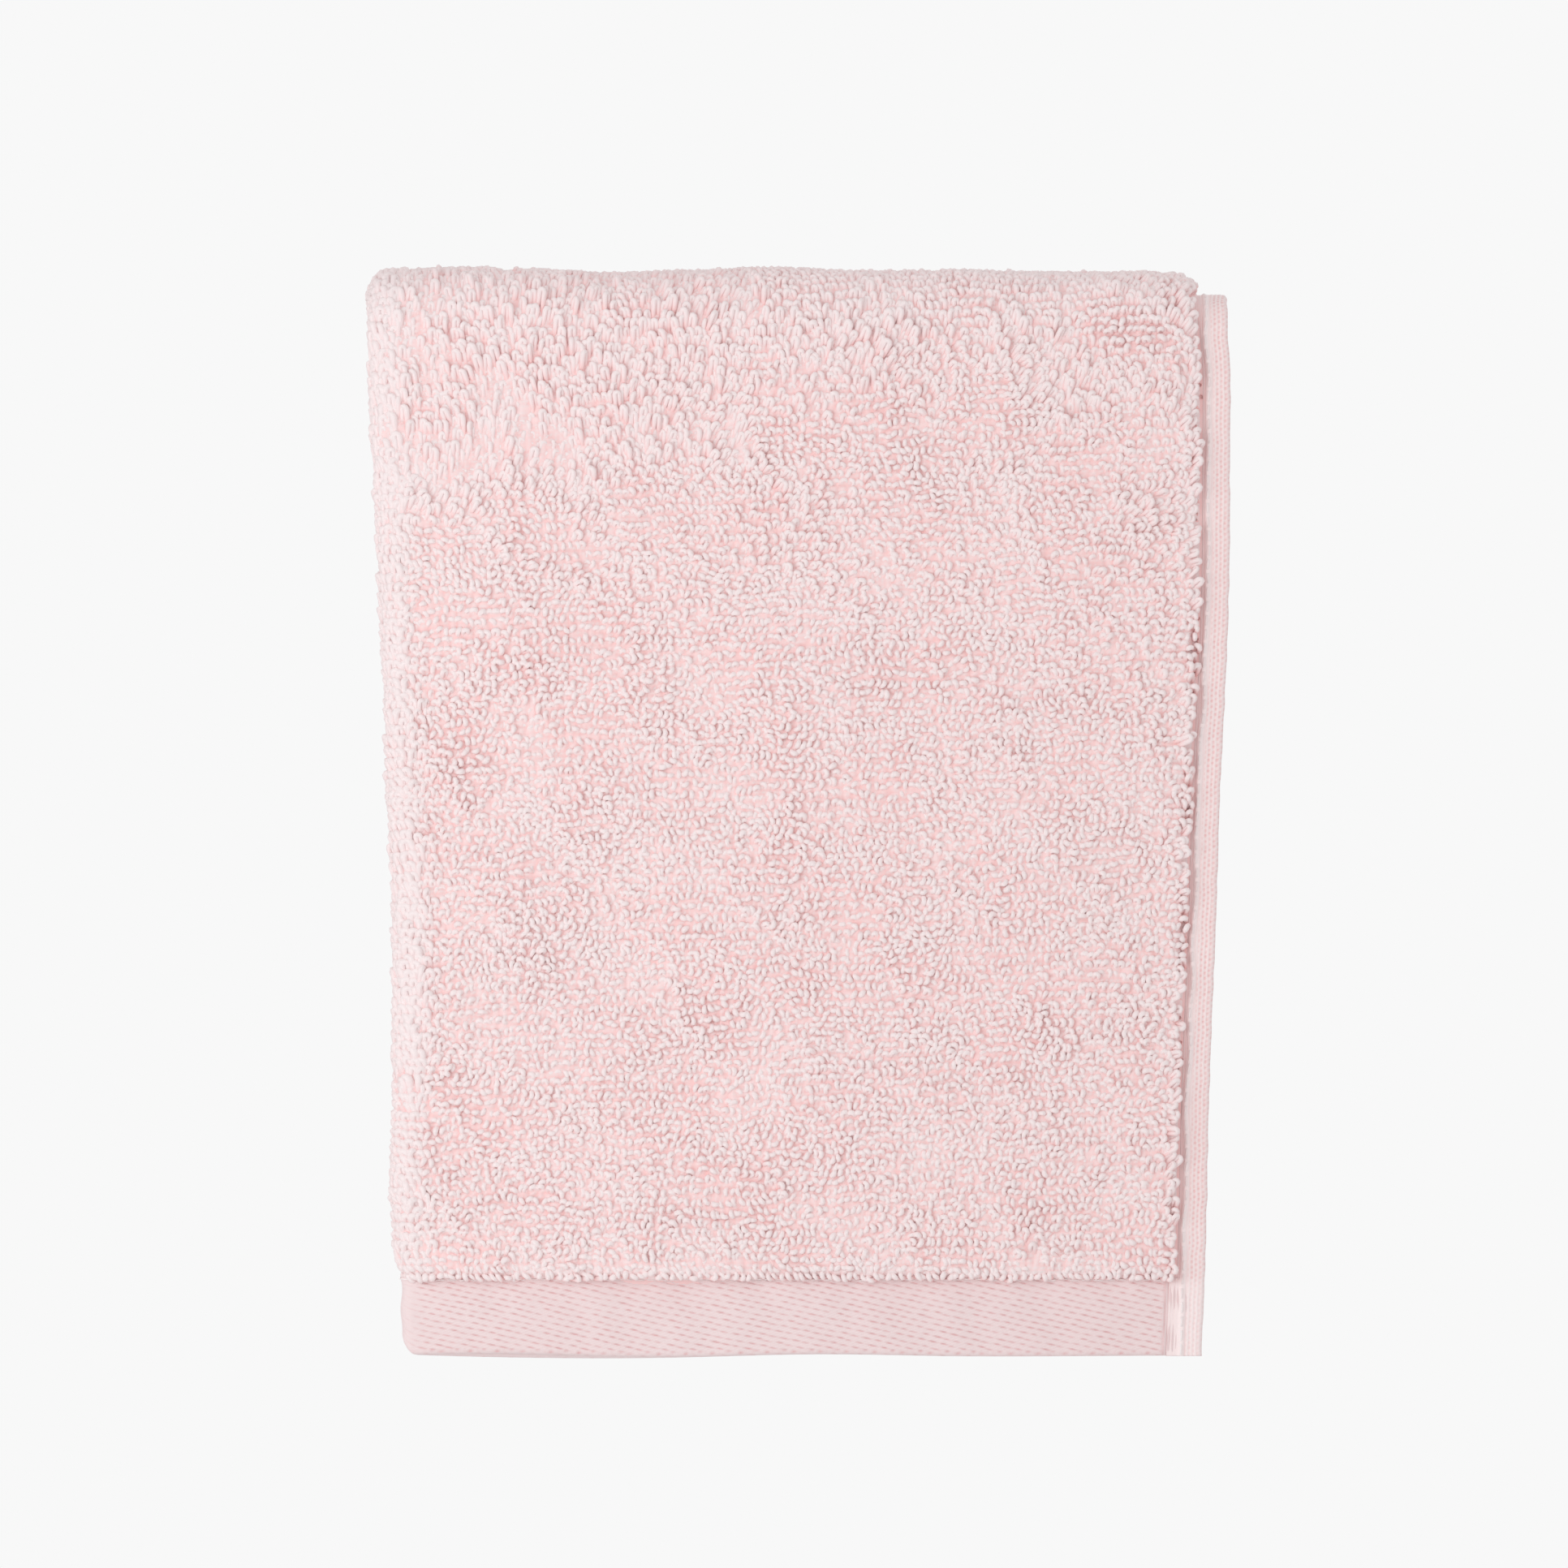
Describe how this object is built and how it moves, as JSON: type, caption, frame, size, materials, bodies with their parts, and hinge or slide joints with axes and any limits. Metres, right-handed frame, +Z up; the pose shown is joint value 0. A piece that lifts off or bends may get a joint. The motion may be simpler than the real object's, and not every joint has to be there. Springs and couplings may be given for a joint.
{
  "type": "face cloth",
  "caption": "Pale pink terry face cloth, folded once lengthwise and draped over a rail, with looped pile, flat woven end hems and narrow stitched side hems.",
  "frame": {"origin": "middle of the seat, where the underside of the folded cloth lies on the top face of the rail", "axes": "+X along the rail to the right as seen from the front, -Y towards the front drop, +Z up; the lengthwise fold is on the -X side"},
  "size_m": [0.178, 0.04, 0.226],
  "materials": {
    "terry_pile": "soft cotton terry loops, matt, faintly streaked where the loops lean together",
    "woven_hem": "flat cotton weave, matt, fine diagonal twill on the end hems and plain weave on the side hems",
    "sewing_thread": "matt cotton thread in the cloth's own colour"
  },
  "bodies": {
    "crown": {"crown_outer_leaf": "terry_pile", "crown_inner_leaf": "terry_pile", "crown_left_fold": "terry_pile", "crown_outer_side_hem": "woven_hem", "crown_inner_side_hem": "woven_hem", "crown_side_hem_seams": "sewing_thread", "front_bend_outer_leaf": "terry_pile", "front_bend_inner_leaf": "terry_pile", "front_bend_left_fold": "terry_pile", "front_bend_side_hems": "woven_hem", "front_bend_side_hem_seams": "sewing_thread", "back_bend_outer_leaf": "terry_pile", "back_bend_inner_leaf": "terry_pile", "back_bend_left_fold": "terry_pile", "back_bend_side_hems": "woven_hem", "back_bend_side_hem_seams": "sewing_thread"},
    "front_drop": {"front_outer_leaf": "terry_pile", "front_inner_leaf": "terry_pile", "front_left_fold": "terry_pile", "front_outer_side_hem": "woven_hem", "front_inner_side_hem": "woven_hem", "front_side_hem_seams": "sewing_thread", "front_outer_end_hem": "woven_hem", "front_inner_end_hem": "woven_hem", "front_end_hem_fold": "woven_hem", "front_end_hem_seams": "sewing_thread"},
    "back_drop": {"back_outer_leaf": "terry_pile", "back_inner_leaf": "terry_pile", "back_left_fold": "terry_pile", "back_outer_side_hem": "woven_hem", "back_inner_side_hem": "woven_hem", "back_side_hem_seams": "sewing_thread", "back_outer_end_hem": "woven_hem", "back_inner_end_hem": "woven_hem", "back_end_hem_fold": "woven_hem", "back_end_hem_seams": "sewing_thread"}
  },
  "joints": [
    {"name": "front_swing", "type": "hinge", "parent": "crown", "child": "front_drop", "pos_m": [0, -0.0085, -0.001], "axis": [-1, 0, 0], "range_deg": [0, 80], "deforming": ["front_bend_outer_leaf", "front_bend_inner_leaf", "front_bend_left_fold", "front_bend_side_hems", "front_bend_side_hem_seams"]},
    {"name": "back_swing", "type": "hinge", "parent": "crown", "child": "back_drop", "pos_m": [0, 0.0085, -0.001], "axis": [1, 0, 0], "range_deg": [0, 80], "deforming": ["back_bend_outer_leaf", "back_bend_inner_leaf", "back_bend_left_fold", "back_bend_side_hems", "back_bend_side_hem_seams"]}
  ]
}
